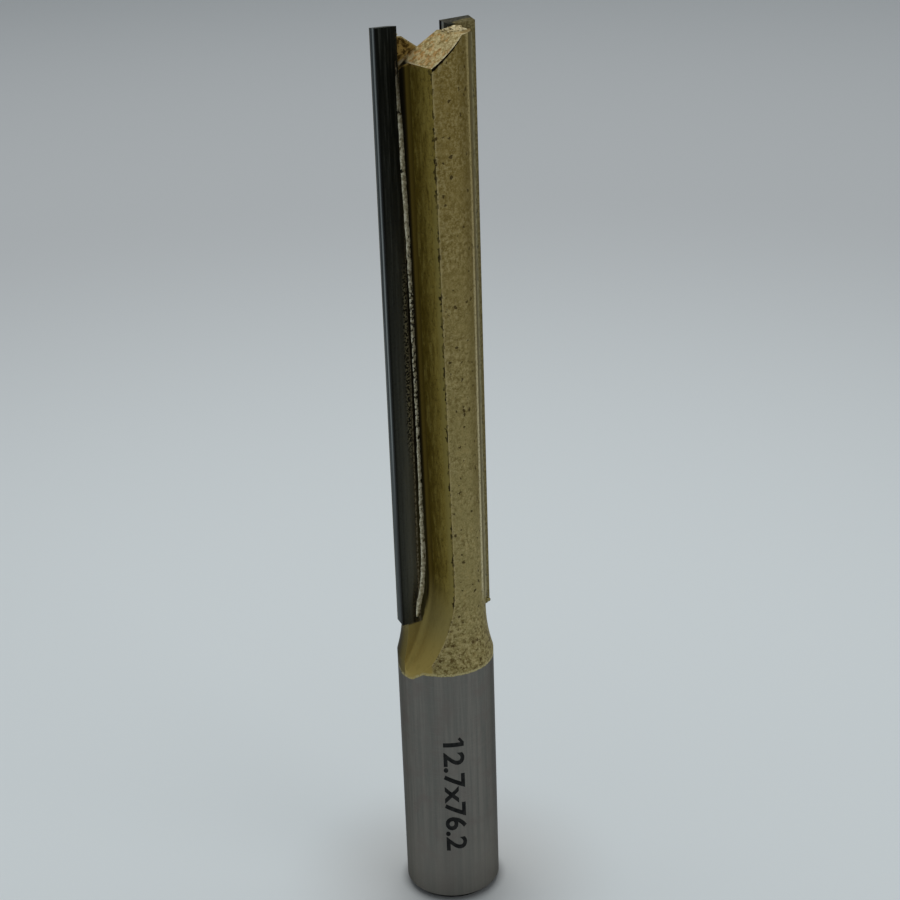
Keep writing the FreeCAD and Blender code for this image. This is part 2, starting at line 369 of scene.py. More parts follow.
# Along the edge between flute and land the paint is thin and broken by dark pits
frayed = reckon(tree, "MULTIPLY_ADD", nicks, -2.2, reckon(tree, "ADD", radius, 1.08))
arris = reckon(tree, "MULTIPLY", fade(tree, frayed, BODY_RADIUS - 0.30, BODY_RADIUS - 0.16),
               fade(tree, axes[2], 41.0, 45.0))
worn_bare = coat(tree, "TexNoise", {"Vector": in_mm, "Scale": 0.45, "Detail": 2.0}).outputs["Fac"]
arris = reckon(tree, "MULTIPLY", arris,
               reckon(tree, "MULTIPLY_ADD", fade(tree, worn_bare, 0.42, 0.58), 0.55, 0.40))
flute_paint = lay_over(tree, arris, flute_paint, srgb(50, 40, 18))
on_land = reckon(tree, "MULTIPLY", fade(tree, turned_face, 0.84, 0.92),
                 fade(tree, radius, BODY_RADIUS - 0.35, BODY_RADIUS - 0.15))
smooth_patch = reckon(tree, "MULTIPLY", fade(tree, axes[2], 43.0, 39.0),
                      fade(tree, across, 4.6, 4.9))
smooth_patch = reckon(tree, "MULTIPLY", smooth_patch, fade(tree, axes[0], 1.0, -1.0))
on_land = reckon(tree, "MULTIPLY", on_land, reckon(tree, "SUBTRACT", 1.0, smooth_patch))
paint = lay_over(tree, on_land, flute_paint, land_paint)
# Painted shade: the corner of the flute beside the rake plane is painted nearly black
corner_shade = reckon(tree, "MULTIPLY", fade(tree, beside, CORNER_DARK, 0.06),
                   fade(tree, axes[2], 41.5, 45.0))
paint = lay_over(tree, corner_shade, paint, srgb(38, 30, 12))
line_place = reckon(tree, "MULTIPLY_ADD",
                    reckon(tree, "MAXIMUM", reckon(tree, "SUBTRACT", axes[2], LINE_BEND), 0.0),
                    LINE_LEAN, LINE_PLACE)
from_line = reckon(tree, "SUBTRACT", across, line_place)
on_rake_plane = reckon(tree, "MULTIPLY", fade(tree, beside, 0.06, 0.02),
                       fade(tree, axes[2], TIP_BOTTOM - 0.3, TIP_BOTTOM))
# Painted shade: the strip of rake plane between each tip and the flute corner is painted dark,
# darkest low down
groove_shade = lay_over(tree, fade(tree, axes[2], 66.0, 50.0), srgb(26, 22, 12), srgb(62, 56, 32))
paint = lay_over(tree, on_rake_plane, paint, groove_shade)
smear = lay_over(tree, fade(tree, skin["Grain"], 0.42, 0.58), srgb(70, 62, 44), srgb(124, 116, 94))
smear = lay_over(tree, fade(tree, axes[2], 90.0, 108.0), smear, srgb(40, 34, 22))
smeared = reckon(tree, "MULTIPLY", on_rake_plane, fade(tree, from_line, 0.46, 0.58))
paint = lay_over(tree, smeared, paint, smear)

# Ground end between the tips: bright and coarse, with tan and orange heat stains
upwards = fade(tree, face_axes[2], 0.30, 0.55)
at_end = reckon(tree, "MULTIPLY", upwards, fade(tree, axes[2], 100.0, 105.0))
stains = coat(tree, "TexNoise", {"Vector": in_mm, "Scale": 1.6, "Detail": 3.0}).outputs["Fac"]
end_metal = lay_over(tree, fade(tree, skin["Grain"], 0.44, 0.60), srgb(152, 133, 84),
                     srgb(200, 183, 136))
stained = reckon(tree, "MULTIPLY_ADD", fade(tree, axes[0], 1.5, -1.5), 0.10, stains)
end_metal = lay_over(tree, reckon(tree, "MULTIPLY", fade(tree, stained, 0.56, 0.66), 0.65),
                     end_metal, srgb(186, 138, 74))
end_metal = lay_over(tree, reckon(tree, "MULTIPLY", fade(tree, nicks, 0.50, 0.62), 0.5),
                     end_metal, srgb(218, 204, 158))
end_metal = lay_over(tree, reckon(tree, "MULTIPLY", fade(tree, nicks, 0.47, 0.38), 0.45),
                     end_metal, srgb(116, 92, 50))
end_metal = lay_over(tree, reckon(tree, "MULTIPLY", fade(tree, fine, 0.50, 0.38), 0.35),
                     end_metal, srgb(104, 82, 42))
# Painted highlight: a bright line along the outer edge of the ground end and along the flute wall
end_edge_highlight = reckon(tree, "MULTIPLY", fade(tree, radius, BODY_RADIUS - 0.35, BODY_RADIUS - 0.15),
                 fade(tree, fine, 0.40, 0.52))
end_edge_highlight = reckon(tree, "MAXIMUM", end_edge_highlight,
                 reckon(tree, "MULTIPLY", fade(tree, from_wall, -0.30, -0.10),
                        fade(tree, axes[0], 0.0, -0.2)))
end_metal = lay_over(tree, reckon(tree, "MULTIPLY", end_edge_highlight, 0.6), end_metal, srgb(214, 204, 168))
# Beyond the web the ground end is painted dark brown: dark braze, with painted shade over it
beyond_web = reckon(tree, "MULTIPLY",
                    fade(tree, reckon(tree, "MULTIPLY_ADD", axes[1], -0.35, axes[0]), -2.0, -2.6),
                    fade(tree, axes[1], 0.75, 0.45))
braze_and_shade = lay_over(tree, fade(tree, nicks, 0.42, 0.60), srgb(16, 12, 6), srgb(62, 48, 24))
end_metal = lay_over(tree, beyond_web, end_metal, braze_and_shade)
behind_tip = fade(tree, reckon(tree, "MULTIPLY_ADD", stains, 1.6, across), 3.5, 4.1)
end_metal = lay_over(tree, reckon(tree, "MULTIPLY", behind_tip, 0.75), end_metal,
                     srgb(120, 100, 56))
paint = lay_over(tree, at_end, paint, end_metal)

# Painted shade: just below the ground end the paint on the land is painted dark, as the shadow
# under the edge
end_face_level = reckon(tree, "MULTIPLY_ADD", axes[0], END_CLIMB,
                  reckon(tree, "MULTIPLY_ADD", axes[1], END_TILT, END_HEIGHT))
below_end = reckon(tree, "SUBTRACT", reckon(tree, "MINIMUM", end_face_level, STEEL_END), axes[2])
shade_reach = reckon(tree, "MULTIPLY_ADD", nicks, 0.5, reckon(tree, "SUBTRACT", below_end, 0.25))
shade_reach = reckon(tree, "MULTIPLY_ADD", axes[0], 0.06, shade_reach)
under_end_shade = reckon(tree, "MULTIPLY", fade(tree, shade_reach, 0.34, 0.22), fade(tree, axes[1], 0.0, -1.0))
under_end_shade = reckon(tree, "MULTIPLY", under_end_shade, fade(tree, axes[0], 2.1, 1.2))
under_end_shade = reckon(tree, "MULTIPLY", under_end_shade, reckon(tree, "SUBTRACT", 1.0, upwards))
under_end_shade = reckon(tree, "MULTIPLY", under_end_shade, on_land)
paint = lay_over(tree, under_end_shade, paint, srgb(20, 15, 6))

# Upright wall of the end gash, painted a mottled brown that stands in part for its shade, with a
# painted highlight along its top
gash_wall = reckon(tree, "MULTIPLY", fade(tree, axes[2], 112.6, 113.2),
                   fade(tree, radius, 3.6, 3.0))
gash_wall = reckon(tree, "MULTIPLY", gash_wall, reckon(tree, "SUBTRACT", 1.0, upwards))
gash_wall_colour = lay_over(tree, fade(tree, skin["Grain"], 0.42, 0.58), srgb(78, 58, 22),
                 srgb(172, 140, 76))
wall_top = reckon(tree, "MINIMUM", STEEL_END - 0.35,
                  reckon(tree, "MULTIPLY_ADD", axes[0], -END_CLIMB, OTHER_END_HEIGHT))
below_top = reckon(tree, "SUBTRACT", wall_top, axes[2])
wall_top_highlight = reckon(tree, "MULTIPLY", fade(tree, below_top, 0.30, 0.12),
                  fade(tree, fine, 0.38, 0.50))
gash_wall_colour = lay_over(tree, reckon(tree, "MULTIPLY", wall_top_highlight, 0.8), gash_wall_colour, srgb(214, 196, 142))
paint = lay_over(tree, gash_wall, paint, gash_wall_colour)

# Where the paint stops on the shank: a ring that wanders and dips below the narrow tip
ragged = coat(tree, "TexNoise", {"Vector": in_mm, "Scale": 0.8, "Detail": 4.0}).outputs["Fac"]
dip = reckon(tree, "MULTIPLY", fade(tree, axes[0], -5.4, -6.45), 1.4)
edge_level = reckon(tree, "MULTIPLY_ADD", ragged, 0.5, reckon(tree, "SUBTRACT", axes[2], 0.25))
edge_level = reckon(tree, "ADD", edge_level, dip)
painted = fade(tree, edge_level, PAINT_EDGE - 0.05, PAINT_EDGE + 0.05)
lip = reckon(tree, "MULTIPLY", painted,
             fade(tree, edge_level, PAINT_EDGE + 0.50, PAINT_EDGE + 0.15))
lip = reckon(tree, "MULTIPLY", lip, fade(tree, fine, 0.40, 0.52))
paint = lay_over(tree, reckon(tree, "MULTIPLY", lip, 0.8), paint, srgb(192, 181, 134))
body_colour = lay_over(tree, painted, steel, paint)
tree.links.new(body_colour, shader.inputs["Base Color"])
bare = reckon(tree, "SUBTRACT", 1.0, painted)
tree.links.new(reckon(tree, "MULTIPLY_ADD", bare, 0.50, 0.40), shader.inputs["Metallic"])
shader.inputs["Specular IOR Level"].default_value = 0.08
shader.inputs["Specular Tint"].default_value = (0.35, 0.35, 0.35, 1.0)
tree.links.new(reckon(tree, "MULTIPLY_ADD", painted, 0.10,
                      reckon(tree, "MULTIPLY_ADD", skin["Grain"], 0.16, 0.32)),
               shader.inputs["Roughness"])
rough_paint = reckon(tree, "MULTIPLY", painted, reckon(tree, "MULTIPLY_ADD", on_land, 0.75, 0.25))
body_height = reckon(tree, "MULTIPLY_ADD", skin["Height"], rough_paint,
                     reckon(tree, "MULTIPLY", reckon(tree, "MULTIPLY", rings["Lines"], bare),
                            0.10))
body_bump = coat(tree, "Bump", {"Height": body_height, "Strength": 0.6, "Distance": PIT_DEPTH})
tree.links.new(body_bump.outputs[0], shader.inputs["Normal"])


def give_finish(node_name, finish):
    """Puts a finish in every material slot of a CAD node."""
    mesh_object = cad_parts[node_name]
    if not mesh_object.material_slots:
        mesh_object.data.materials.append(finish)
    for slot in mesh_object.material_slots:
        slot.material = finish


give_finish("bit_body", body_finish)


# ---------------------------------------------------------------------------
# Carbide tips: two bars of sintered carbide, ground on the rake face, the
# flank and the end after brazing, so each face has fine lengthwise lines. The
# paint reached the back of each tip and stuck in the rough band at its joint.
# ---------------------------------------------------------------------------
NARROW_TIP_JOINT = 3.95     # mm from the axis at the low end of the tip
NARROW_TIP_LEAN = 0.0059    # mm nearer for each mm up
WIDE_TIP_JOINT = 2.30
FLUX_FOOT = 62.0            # mm, where the ragged band of flux starts
FLUX_HEAD = 91.0            # mm, where it ends
SCRATCH_DEPTH = 0.00004     # metres

carbide_finish, tree, shader, in_mm = new_finish("ground_carbide")
axes = coat(tree, "SeparateXYZ", {0: in_mm}).outputs
facing = coat(tree, "NewGeometry").outputs["Normal"]
face_axes = coat(tree, "SeparateXYZ", {0: facing}).outputs
across = reckon(tree, "ABSOLUTE", axes[0])
beside = reckon(tree, "ABSOLUTE", axes[1])
wheel = use_effect(tree, grinding_lines,
                   {"Place": in_mm, "Stretch": (1.0, 1.0, 0.03), "Fineness": 3.2})
skin = use_effect(tree, pitted_skin, {"Place": in_mm, "Pit Scale": 1.6, "Pit Amount": 0.45,
                                      "Grain Scale": 3.0})
# Painted light and shade: the carbide is painted darker towards the top of each tip and lighter
# towards its low end
carbide = lay_over(tree, fade(tree, axes[2], 118.0, 45.0), srgb(27, 28, 24), srgb(68, 68, 61))
carbide = lay_over(tree, reckon(tree, "MULTIPLY", fade(tree, wheel["Lines"], 0.48, 0.66), 0.35),
                   carbide, srgb(88, 90, 84))
carbide = lay_over(tree, reckon(tree, "MULTIPLY", fade(tree, wheel["Lines"], 0.47, 0.32), 0.6),
                   carbide, srgb(14, 14, 12))
carbide = lay_over(tree, reckon(tree, "MULTIPLY", fade(tree, skin["Grain"], 0.47, 0.34), 0.4),
                   carbide, srgb(18, 18, 15))

# Low on each tip the face is darker along its edge and lighter towards the joint
low_half = fade(tree, axes[2], 105.0, 55.0)
carbide = lay_over(tree, reckon(tree, "MULTIPLY", fade(tree, across, 5.9, 4.0),
                                reckon(tree, "MULTIPLY", low_half, 0.55)),
                   carbide, srgb(112, 110, 98))
carbide = lay_over(tree, reckon(tree, "MULTIPLY", fade(tree, across, 4.9, 6.2),
                                reckon(tree, "MULTIPLY", low_half, 0.40)),
                   carbide, srgb(34, 34, 30))
carbide = lay_over(tree, reckon(tree, "MULTIPLY", fade(tree, across, 5.95, 6.25), 0.6),
                   carbide, srgb(16, 19, 15))

# Rough band beside the joint, brown with flux and paint, widest at the low end
joint_place = reckon(tree, "MULTIPLY_ADD", reckon(tree, "SUBTRACT", axes[2], TIP_BOTTOM),
                     -NARROW_TIP_LEAN, NARROW_TIP_JOINT)
on_wide_tip = reckon(tree, "GREATER_THAN", axes[0], 0.0)
joint_place = coat(tree, "Mix", {"Factor": on_wide_tip, 2: joint_place,
                                 3: WIDE_TIP_JOINT}).outputs[0]
from_joint = reckon(tree, "SUBTRACT", across, joint_place)
low_on_tip = fade(tree, axes[2], 49.0, 44.0)
band = fade(tree, reckon(tree, "MULTIPLY_ADD", low_on_tip, -0.45, from_joint), 0.55, 0.15)
band = reckon(tree, "MULTIPLY", band, fade(tree, beside, 0.3, 0.1))
flux = lay_over(tree, fade(tree, skin["Grain"], 0.42, 0.60), srgb(18, 15, 9), srgb(72, 62, 40))
carbide = lay_over(tree, reckon(tree, "MULTIPLY", band,
                                reckon(tree, "MULTIPLY_ADD", low_on_tip, 0.60, 0.20)),
                   carbide, flux)

# Half way up, the flux left a ragged band of bright and dark specks beside the joint
half_way = reckon(tree, "MULTIPLY", fade(tree, axes[2], FLUX_FOOT, FLUX_FOOT + 6.0),
                  fade(tree, axes[2], FLUX_HEAD, FLUX_HEAD - 6.0))
specks = coat(tree, "TexNoise", {"Vector": in_mm, "Scale": 3.4, "Detail": 2.0}).outputs["Fac"]
specked = reckon(tree, "MULTIPLY", fade(tree, reckon(tree, "MULTIPLY_ADD", specks, 1.2, from_joint),
                                        1.35, 0.95), fade(tree, beside, 0.3, 0.1))
specked = reckon(tree, "MULTIPLY", specked, half_way)
speck_colour = lay_over(tree, fade(tree, specks, 0.46, 0.57), srgb(16, 13, 8), srgb(150, 144, 118))
carbide = lay_over(tree, reckon(tree, "MULTIPLY", specked, 0.75), carbide, speck_colour)

# Flank: the narrow relief next to the cutting edge is painted dark as shade, with a painted
# highlight and a dark line behind it
on_flank = fade(tree, reckon(tree, "ABSOLUTE", face_axes[0]), 0.60, 0.90)
flank = lay_over(tree, fade(tree, wheel["Lines"], 0.40, 0.60), srgb(84, 90, 90),
                 srgb(122, 128, 129))
flank_highlight = reckon(tree, "MULTIPLY", fade(tree, beside, 0.56, 0.70), fade(tree, beside, 1.10, 0.9))
high_up = fade(tree, axes[2], 55.0, 70.0)
flank = lay_over(tree, reckon(tree, "MULTIPLY", flank_highlight,
                              reckon(tree, "MULTIPLY_ADD", high_up, 0.45, 0.45)),
                 flank, srgb(166, 172, 170))
dark_line = reckon(tree, "MULTIPLY", fade(tree, beside, 1.05, 1.20), fade(tree, beside, 1.62, 1.42))
flank = lay_over(tree, reckon(tree, "MULTIPLY", dark_line, reckon(tree, "MULTIPLY", high_up, 0.6)),
                 flank, srgb(38, 42, 42))
flank = lay_over(tree, reckon(tree, "MULTIPLY", fade(tree, beside, 1.7, 0.7),
                              reckon(tree, "MULTIPLY", fade(tree, axes[2], 75.0, 50.0), 0.8)),
                 flank, srgb(44, 46, 46))
relief_shade = lay_over(tree, fade(tree, axes[2], 118.0, 45.0), srgb(12, 12, 11), srgb(30, 31, 29))
flank = lay_over(tree, fade(tree, beside, 0.54, 0.30), flank, relief_shade)
carbide = lay_over(tree, on_flank, carbide, flank)
at_end = fade(tree, face_axes[2], 0.70, 0.90)
end_ground = lay_over(tree, fade(tree, skin["Grain"], 0.42, 0.60), srgb(56, 54, 44),
                      srgb(92, 88, 76))
carbide = lay_over(tree, at_end, carbide, end_ground)

# Paint on the back of each tip, which on the wide one ran on over the flank
on_back = reckon(tree, "MULTIPLY", fade(tree, beside, 1.80, 1.95),
                 reckon(tree, "SUBTRACT", 1.0, at_end))
ran_over = reckon(tree, "MULTIPLY", fade(tree, beside, 0.75, 1.05), on_wide_tip)
ran_over = reckon(tree, "MULTIPLY", ran_over, on_flank)
painted = reckon(tree, "MAXIMUM", on_back, ran_over)
back_paint = lay_over(tree, fade(tree, skin["Grain"], 0.40, 0.60), srgb(100, 88, 50),
                      srgb(136, 124, 82))
shadowed = reckon(tree, "MULTIPLY", fade(tree, across, 3.3, 2.8), fade(tree, axes[2], 116.3, 116.6))
back_paint = lay_over(tree, shadowed, back_paint, srgb(34, 36, 24))
carbide = lay_over(tree, painted, carbide, back_paint)
over_end = reckon(tree, "MULTIPLY_ADD", fade(tree, across, 3.0, 5.5), -0.5,
                  reckon(tree, "MULTIPLY_ADD", skin["Mottle"], 0.5, 1.15))
over_end = reckon(tree, "SUBTRACT", beside, over_end)
over_end = reckon(tree, "MULTIPLY", fade(tree, over_end, -0.12, 0.12),
                  reckon(tree, "MULTIPLY", at_end, on_wide_tip))
carbide = lay_over(tree, reckon(tree, "MULTIPLY", over_end, 0.8), carbide, back_paint)
tree.links.new(carbide, shader.inputs["Base Color"])
tree.links.new(reckon(tree, "MULTIPLY_ADD", painted, -0.55, 0.95), shader.inputs["Metallic"])
shader.inputs["Specular Tint"].default_value = (0.5, 0.5, 0.5, 1.0)
tree.links.new(reckon(tree, "MULTIPLY_ADD", wheel["Lines"], 0.2, 0.26),
               shader.inputs["Roughness"])
carbide_bump = coat(tree, "Bump", {"Height": wheel["Lines"], "Strength": 0.3,
                                   "Distance": SCRATCH_DEPTH})
tree.links.new(carbide_bump.outputs[0], shader.inputs["Normal"])
give_finish("carbide_tip_a", carbide_finish)
give_finish("carbide_tip_b", carbide_finish)


# ---------------------------------------------------------------------------
# Braze seams: silver alloy that holds each carbide tip in its seat, with a
# small fillet in the corner behind the tip. It was sprayed over with the body.
# ---------------------------------------------------------------------------
braze_finish, tree, shader, in_mm = new_finish("painted_braze")
axes = coat(tree, "SeparateXYZ", {0: in_mm}).outputs
skin = use_effect(tree, pitted_skin, {"Place": in_mm, "Pit Scale": 1.4, "Pit Amount": 0.36,
                                      "Grain Scale": 3.2})
alloy = lay_over(tree, fade(tree, skin["Mottle"], 0.40, 0.60),
                 srgb(110, 98, 50), srgb(148, 136, 86))
alloy = lay_over(tree, reckon(tree, "MULTIPLY", fade(tree, skin["Grain"], 0.50, 0.64), 0.6), alloy,
                 srgb(178, 166, 118))
alloy = lay_over(tree, skin["Pits"], alloy, srgb(52, 42, 18))
in_joint = fade(tree, reckon(tree, "ABSOLUTE", axes[1]), 0.25, 0.10)
alloy = lay_over(tree, in_joint, alloy,
                 lay_over(tree, fade(tree, skin["Grain"], 0.42, 0.58), srgb(40, 35, 24),
                          srgb(88, 80, 60)))
tree.links.new(alloy, shader.inputs["Base Color"])
tree.links.new(reckon(tree, "MULTIPLY_ADD", skin["Grain"], 0.2, 0.30), shader.inputs["Roughness"])
shader.inputs["Metallic"].default_value = 0.5
shader.inputs["Specular IOR Level"].default_value = 0.25
braze_bump = coat(tree, "Bump", {"Height": skin["Height"], "Strength": 0.5,
                                 "Distance": 0.00010})
tree.links.new(braze_bump.outputs[0], shader.inputs["Normal"])
give_finish("braze_seam_a", braze_finish)
give_finish("braze_seam_b", braze_finish)


# ---------------------------------------------------------------------------
# Braze lines: the alloy that squeezed out of each joint onto the rake side in a
# thin wavy bead, ground through the paint when the rake faces were ground.
# ---------------------------------------------------------------------------
BEAD_FLATNESS = 0.20        # how high the ground bead is, as a share of its width
BEAD_SINK = 0.00001         # metres into the metal
WAVER = 0.09                # mm that the bead wanders across in short waves
RIPPLE = 0.05               # mm in long waves


def deselect_everything():
    bpy.ops.object.select_all(action="DESELECT")


squeezed_out, tree, shader, in_mm = new_finish("ground_braze")
skin = use_effect(tree, pitted_skin, {"Place": in_mm, "Pit Scale": 0.9, "Pit Amount": 0.36,
                                      "Grain Scale": 2.2})
axes = coat(tree, "SeparateXYZ", {0: in_mm}).outputs
cut_bright = lay_over(tree, fade(tree, skin["Grain"], 0.40, 0.60), srgb(168, 160, 130),
                      srgb(226, 220, 196))
cut_bright = lay_over(tree, fade(tree, skin["Mottle"], 0.44, 0.36), cut_bright, srgb(104, 92, 66))
cut_bright = lay_over(tree, skin["Pits"], cut_bright, srgb(30, 24, 12))
broken = coat(tree, "TexNoise", {"Vector": in_mm, "Scale": 2.6, "Detail": 2.0}).outputs["Fac"]
broken = reckon(tree, "MULTIPLY", fade(tree, broken, 0.50, 0.43),
                reckon(tree, "MULTIPLY", fade(tree, axes[2], FLUX_FOOT + 4.0, FLUX_FOOT + 8.0),
                       fade(tree, axes[2], FLUX_HEAD, FLUX_HEAD - 6.0)))
cut_bright = lay_over(tree, reckon(tree, "MULTIPLY", broken, 0.9), cut_bright, srgb(34, 28, 16))
cut_bright = lay_over(tree, reckon(tree, "MULTIPLY", fade(tree, axes[2], 104.0, 112.0), 0.8),
                      cut_bright, srgb(66, 54, 36))
tree.links.new(cut_bright, shader.inputs["Base Color"])
tree.links.new(reckon(tree, "MULTIPLY_ADD", skin["Grain"], 0.25, 0.30), shader.inputs["Roughness"])
shader.inputs["Metallic"].default_value = 0.6
squeezed_bump = coat(tree, "Bump", {"Height": skin["Height"], "Strength": 0.5,
                                    "Distance": 0.00008})
tree.links.new(squeezed_bump.outputs[0], shader.inputs["Normal"])


def braze_line(name, side, course):
    """A thin bead along one joint. Course gives height, place across and half width in mm."""
    deselect_everything()
    bpy.ops.curve.primitive_nurbs_path_add(location=(0.0, 0.0, 0.0))
    run = bpy.context.object
    run.name = name
    spline = run.data.splines[0]
    spline.points.add(len(course) - len(spline.points))
    for point, (height, place, half_width) in zip(spline.points, course):
        point.co = (side * place / 1000.0, 0.0, height / 1000.0, 1.0)
        point.radius = half_width
    spline.order_u = 3
    spline.use_endpoint_u = True
    spline.resolution_u = 14
    run.data.bevel_depth = 0.001
    run.data.bevel_resolution = 2
    run.data.use_fill_caps = True
    bpy.ops.object.convert(target="MESH")
    run = bpy.context.object
    for corner in run.data.vertices:
        height = corner.co.z * 1000.0
        waver = noise.noise(Vector((side * 7.0, corner.co.y * 900.0, height * 1.1)))
        ripple = noise.noise(Vector((side * 3.0, 5.0, height * 0.45)))
        corner.co.x += (WAVER * waver + RIPPLE * ripple) / 1000.0
        corner.co.y = corner.co.y * BEAD_FLATNESS - side * BEAD_SINK
    bpy.ops.object.mode_set(mode="EDIT")
    bpy.ops.mesh.select_all(action="SELECT")
    bpy.ops.mesh.normals_make_consistent(inside=False)
    bpy.ops.object.mode_set(mode="OBJECT")
    run.data.materials.clear()
    run.data.materials.append(squeezed_out)
    bpy.ops.object.shade_smooth()
    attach(run, "root")


braze_line("braze_line_b", -1, [
    (41.9, 4.10, 0.16), (43.1, 3.90, 0.42), (45.0, 3.44, 0.42), (47.0, 3.00, 0.38),
    (50.0, 2.78, 0.42), (54.0, 2.84, 0.33), (60.0, 2.87, 0.28), (68.0, 2.86, 0.25),
    (76.0, 2.96, 0.27), (84.0, 3.00, 0.30), (91.0, 3.09, 0.34), (97.0, 3.28, 0.36),
    (103.0, 3.45, 0.36), (108.0, 3.57, 0.30), (111.5, 3.78, 0.18), (113.5, 3.84, 0.06)])
braze_line("braze_line_a", 1, [
    (42.4, 3.70, 0.12), (44.5, 3.30, 0.26), (47.5, 2.86, 0.24), (54.0, 2.82, 0.18),
    (68.0, 2.92, 0.17), (84.0, 3.00, 0.18), (100.0, 3.08, 0.20), (110.0, 3.16, 0.14),
    (113.5, 3.20, 0.06)])


# ---------------------------------------------------------------------------
# Braze lumps: alloy that froze where the film ends. A foot hangs at the low end
# of each tip, a heap lies behind each tip on the ground end of the steel, and
# two drops lie on the heap at the wide tip.
# ---------------------------------------------------------------------------
SWELL = 0.34                # share by which a lump bulges and sinks
ROUGHEN = 0.13              # the same in finer steps

bright_drop, tree, shader, in_mm = new_finish("bright_braze_drop")
skin = use_effect(tree, pitted_skin, {"Place": in_mm, "Pit Scale": 1.6, "Pit Amount": 0.25,
                                      "Grain Scale": 1.8})
frozen = lay_over(tree, fade(tree, skin["Grain"], 0.40, 0.60), srgb(154, 135, 88),
                  srgb(226, 212, 168))
frozen = lay_over(tree, reckon(tree, "MULTIPLY", skin["Pits"], 0.6), frozen, srgb(112, 94, 56))
tree.links.new(frozen, shader.inputs["Base Color"])
tree.links.new(reckon(tree, "MULTIPLY_ADD", skin["Grain"], 0.2, 0.42), shader.inputs["Roughness"])
shader.inputs["Metallic"].default_value = 0.3


def braze_lump(name, centre, reach, finish, seed):
    """A small uneven drop of alloy, sunk into the metal under it. Sizes in mm."""
    deselect_everything()
    bpy.ops.mesh.primitive_ico_sphere_add(subdivisions=4, radius=1.0, location=(0.0, 0.0, 0.0))
    drop = bpy.context.object
    drop.name = name
    for corner in drop.data.vertices:
        swell = 1.0 + SWELL * noise.noise(corner.co * 1.9 + Vector((seed, seed * 0.5, 0.0)))
        swell += ROUGHEN * noise.noise(corner.co * 4.6 + Vector((0.0, seed, seed)))
        corner.co = Vector([(c + r * v * swell) / 1000.0
                            for c, r, v in zip(centre, reach, corner.co)])
    drop.data.materials.clear()
    drop.data.materials.append(finish)
    bpy.ops.object.shade_smooth()
    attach(drop, "root")


braze_lump("braze_foot_a", (5.22, -2.22, 42.42), (0.52, 0.46, 0.44), braze_finish, 1.0)
braze_lump("braze_foot_b", (-5.15, 2.15, 41.45), (0.42, 0.40, 0.40), braze_finish, 4.0)
braze_lump("braze_heap_a", (3.00, -2.20, 116.28), (1.30, 0.95, 0.62), bright_drop, 6.0)
braze_lump("braze_heap_b", (-3.15, 2.35, 115.72), (1.10, 0.80, 0.50), bright_drop, 9.0)
braze_lump("braze_drop_a", (2.02, -1.62, 116.38), (0.38, 0.42, 0.28), bright_drop, 2.0)
braze_lump("braze_drop_b", (2.60, -2.35, 116.62), (0.46, 0.40, 0.32), bright_drop, 3.0)


# ---------------------------------------------------------------------------
# Size mark: plain size numbers, cutting diameter by cutting length in
# millimetres, etched dark into the ground shank and read from top to bottom.
# ---------------------------------------------------------------------------
MARK_TOP = 0.0259
MARK_BOTTOM = 0.0082
MARK_HEIGHT = 0.0029
MARK_TURN = math.radians(-117.0)
MARK_STROKE = 0.022         # how much bolder the letters are made, for letters 1 high
MARK_PROUD = 0.000004       # metres above the shank, so that it shows
MARK_DEPTH = 0.00005
MARK_CUTS = 14              # rows that let the letters bend round the shank
SHANK_RADIUS = 0.00635

deselect_everything()
bpy.ops.object.text_add(location=(0.0, 0.0, 0.0))
size_mark = bpy.context.object
size_mark.name = "size_mark"
size_mark.data.body = "12.7x76.2"
size_mark.data.size = 1.0
size_mark.data.offset = MARK_STROKE
size_mark.data.extrude = 0.01
size_mark.data.resolution_u = 4
bpy.ops.object.convert(target="MESH")
size_mark = bpy.context.object
bpy.ops.object.mode_set(mode="EDIT")
bpy.ops.mesh.select_all(action="SELECT")
bpy.ops.mesh.remove_doubles(threshold=0.0001)
bpy.ops.mesh.normals_make_consistent(inside=False)
corners = [v.co.copy() for v in bmesh.from_edit_mesh(size_mark.data).verts]
low = Vector((min(c.x for c in corners), min(c.y for c in corners), 0.0))
high = Vector((max(c.x for c in corners), max(c.y for c in corners), 0.0))

# The figure 1 of this font is a bare bar, so it gets its flag from a slanted bar
FLAG_SIZE = (0.24, 0.095, 0.018)
FLAG_TURN = math.radians(-40.0)
flag_place = (low.x - 0.045, high.y - 0.115, 0.0)
bpy.ops.mesh.select_all(action="DESELECT")
bpy.ops.mesh.primitive_cube_add(size=1.0, location=flag_place)
bpy.ops.transform.resize(value=FLAG_SIZE, center_override=flag_place)
bpy.ops.transform.rotate(value=FLAG_TURN, orient_axis="Z", center_override=flag_place)
corners = [v.co.copy() for v in bmesh.from_edit_mesh(size_mark.data).verts]
low = Vector((min(c.x for c in corners), min(c.y for c in corners), 0.0))
high = Vector((max(c.x for c in corners), max(c.y for c in corners), 0.0))
for cut in range(1, MARK_CUTS):
    bpy.ops.mesh.select_all(action="SELECT")
    level = low.y + (high.y - low.y) * cut / MARK_CUTS
    bpy.ops.mesh.bisect(plane_co=(0.0, level, 0.0), plane_no=(0.0, 1.0, 0.0))
bpy.ops.object.mode_set(mode="OBJECT")
mark_outer = SHANK_RADIUS + MARK_PROUD
mark_inner = SHANK_RADIUS - MARK_DEPTH
for corner in size_mark.data.vertices:
    along = (corner.co.x - low.x) / (high.x - low.x)
    up = (corner.co.y - low.y) / (high.y - low.y) - 0.5
    turn = MARK_TURN + up * MARK_HEIGHT / SHANK_RADIUS
    reach = mark_outer if corner.co.z > 0.0 else mark_inner
    level = MARK_TOP + (MARK_BOTTOM - MARK_TOP) * along
    corner.co = Vector((reach * math.cos(turn), reach * math.sin(turn), level))

